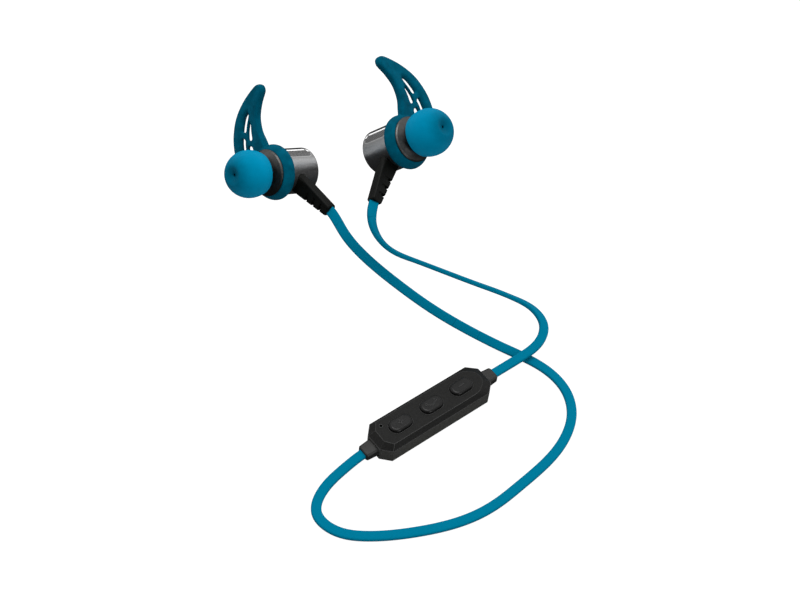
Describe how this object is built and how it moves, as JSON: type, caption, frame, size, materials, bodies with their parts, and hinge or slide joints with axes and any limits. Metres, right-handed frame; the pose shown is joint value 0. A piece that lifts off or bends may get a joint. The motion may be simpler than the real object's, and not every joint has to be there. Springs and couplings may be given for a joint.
{
  "type": "neckband earphones",
  "caption": "Wireless in-ear earphones: metal buds with silicone tips and slotted ear fins on a flat neck cord, joined through a small oblong control module with press buttons.",
  "frame": {"origin": "centre of the control module's flat underside", "axes": "+X along the module towards the short strand, +Z out through the buttons, +Y across the module towards the charging port"},
  "size_m": [0.0865, 0.1165, 0.0602],
  "materials": {
    "shell_plastic": "fine satin texture",
    "button_plastic": "satin",
    "boot_rubber": "matte",
    "cover_rubber": "matte",
    "cord_jacket": "satin",
    "tip_silicone": "satin",
    "fin_silicone": "satin",
    "barrel_aluminium": "brushed, dark anodised",
    "cap_aluminium": "turned, dark anodised",
    "magnet_nickel": "bright plating",
    "basket_steel": "drawn",
    "coil_copper": "wound wire",
    "diaphragm_film": "clear film",
    "mesh_steel": "woven",
    "board_laminate": "solder mask",
    "switch_steel": "stamped",
    "sensor_can": "drawn can",
    "chip_black": "moulded",
    "antenna_ceramic": "ceramic",
    "battery_foil": "foil pouch",
    "led_resin": "clear resin",
    "light_pipe": "clear",
    "port_steel": "folded sheet"
  },
  "bodies": {
    "control": {"control_lower_shell": "shell_plastic", "control_upper_shell": "shell_plastic", "circuit_board": "board_laminate", "dome_switches": "switch_steel", "microphone": "sensor_can", "bluetooth_chip": "chip_black", "chip_antenna": "antenna_ceramic", "battery_pack": "battery_foil", "status_led": "led_resin", "status_light_pipe": "light_pipe", "charging_port": "port_steel", "control_boot_long": "boot_rubber", "control_boot_short": "boot_rubber", "cord_long_lower": "cord_jacket", "cord_short_lower": "cord_jacket"},
    "plus_button": {"plus_button": "button_plastic"},
    "call_button": {"call_button": "button_plastic"},
    "minus_button": {"minus_button": "button_plastic"},
    "port_cover": {"port_cover": "cover_rubber"},
    "left_strand": {"cord_long_upper": "cord_jacket"},
    "right_strand": {"cord_short_upper": "cord_jacket"},
    "left_bud": {"left_barrel": "barrel_aluminium", "left_magnet": "magnet_nickel", "left_driver_basket": "basket_steel", "left_driver_magnet": "magnet_nickel", "left_front_cap": "cap_aluminium", "left_nozzle_mesh": "mesh_steel", "left_boot": "boot_rubber", "left_cord_end": "cord_jacket"},
    "left_driver_cone": {"left_voice_coil": "coil_copper", "left_diaphragm": "diaphragm_film"},
    "left_fin": {"left_ear_fin": "fin_silicone"},
    "left_tip": {"left_ear_tip": "tip_silicone"},
    "right_bud": {"right_barrel": "barrel_aluminium", "right_magnet": "magnet_nickel", "right_driver_basket": "basket_steel", "right_driver_magnet": "magnet_nickel", "right_front_cap": "cap_aluminium", "right_nozzle_mesh": "mesh_steel", "right_boot": "boot_rubber", "right_cord_end": "cord_jacket"},
    "right_driver_cone": {"right_voice_coil": "coil_copper", "right_diaphragm": "diaphragm_film"},
    "right_fin": {"right_ear_fin": "fin_silicone"},
    "right_tip": {"right_ear_tip": "tip_silicone"}
  },
  "joints": [
    {"name": "plus_button_press", "type": "slide", "parent": "control", "child": "plus_button", "axis": [0, 0, -1], "range_m": [0, 0.00025], "stiffness_N_per_m": 5},
    {"name": "call_button_press", "type": "slide", "parent": "control", "child": "call_button", "axis": [0, 0, -1], "range_m": [0, 0.00025], "stiffness_N_per_m": 5},
    {"name": "minus_button_press", "type": "slide", "parent": "control", "child": "minus_button", "axis": [0, 0, -1], "range_m": [0, 0.00025], "stiffness_N_per_m": 5},
    {"name": "port_cover_hinge", "type": "hinge", "parent": "control", "child": "port_cover", "pos_m": [0.01347, 0.00477, 0.00213], "axis": [0, 0, -1], "range_deg": [0, 90]},
    {"name": "left_cord_flex", "type": "hinge", "parent": "control", "child": "left_strand", "pos_m": [0.02288, 0.01382, 0.00642], "axis": [0.7612, 0.2697, 0.5898], "range_deg": [-8, 25]},
    {"name": "right_cord_flex", "type": "hinge", "parent": "control", "child": "right_strand", "pos_m": [0.03341, 0.02074, 0.01067], "axis": [0.2457, 0.7894, -0.5626], "range_deg": [-5, 25]},
    {"name": "left_boot_flex", "type": "hinge", "parent": "left_strand", "child": "left_bud", "pos_m": [0.00165, 0.04741, 0.03491], "axis": [0.8446, -0.1153, 0.5228], "range_deg": [-25, 25]},
    {"name": "right_boot_flex", "type": "hinge", "parent": "right_strand", "child": "right_bud", "pos_m": [0.0104, 0.04159, 0.03786], "axis": [0.6928, -0.6656, -0.2775], "range_deg": [-25, 25]},
    {"name": "left_fin_turn", "type": "hinge", "parent": "left_bud", "child": "left_fin", "pos_m": [-0.00397, 0.06661, 0.03677], "axis": [-0.8883, -0.049, 0.4567], "range_deg": [-25, 25]},
    {"name": "left_tip_pull", "type": "slide", "parent": "left_bud", "child": "left_tip", "axis": [-0.8883, -0.049, 0.4567], "range_m": [0, 0.008]},
    {"name": "left_driver_travel", "type": "slide", "parent": "left_bud", "child": "left_driver_cone", "axis": [-0.8883, -0.049, 0.4567], "range_m": [-0.00015, 0.00015], "stiffness_N_per_m": 5},
    {"name": "right_fin_turn", "type": "hinge", "parent": "right_bud", "child": "right_fin", "pos_m": [0.0274, 0.04986, 0.04479], "axis": [0.3021, -0.6293, 0.7161], "range_deg": [-25, 25]},
    {"name": "right_tip_pull", "type": "slide", "parent": "right_bud", "child": "right_tip", "axis": [0.3021, -0.6293, 0.7161], "range_m": [0, 0.008]},
    {"name": "right_driver_travel", "type": "slide", "parent": "right_bud", "child": "right_driver_cone", "axis": [0.3021, -0.6293, 0.7161], "range_m": [-0.00015, 0.00015], "stiffness_N_per_m": 5}
  ]
}
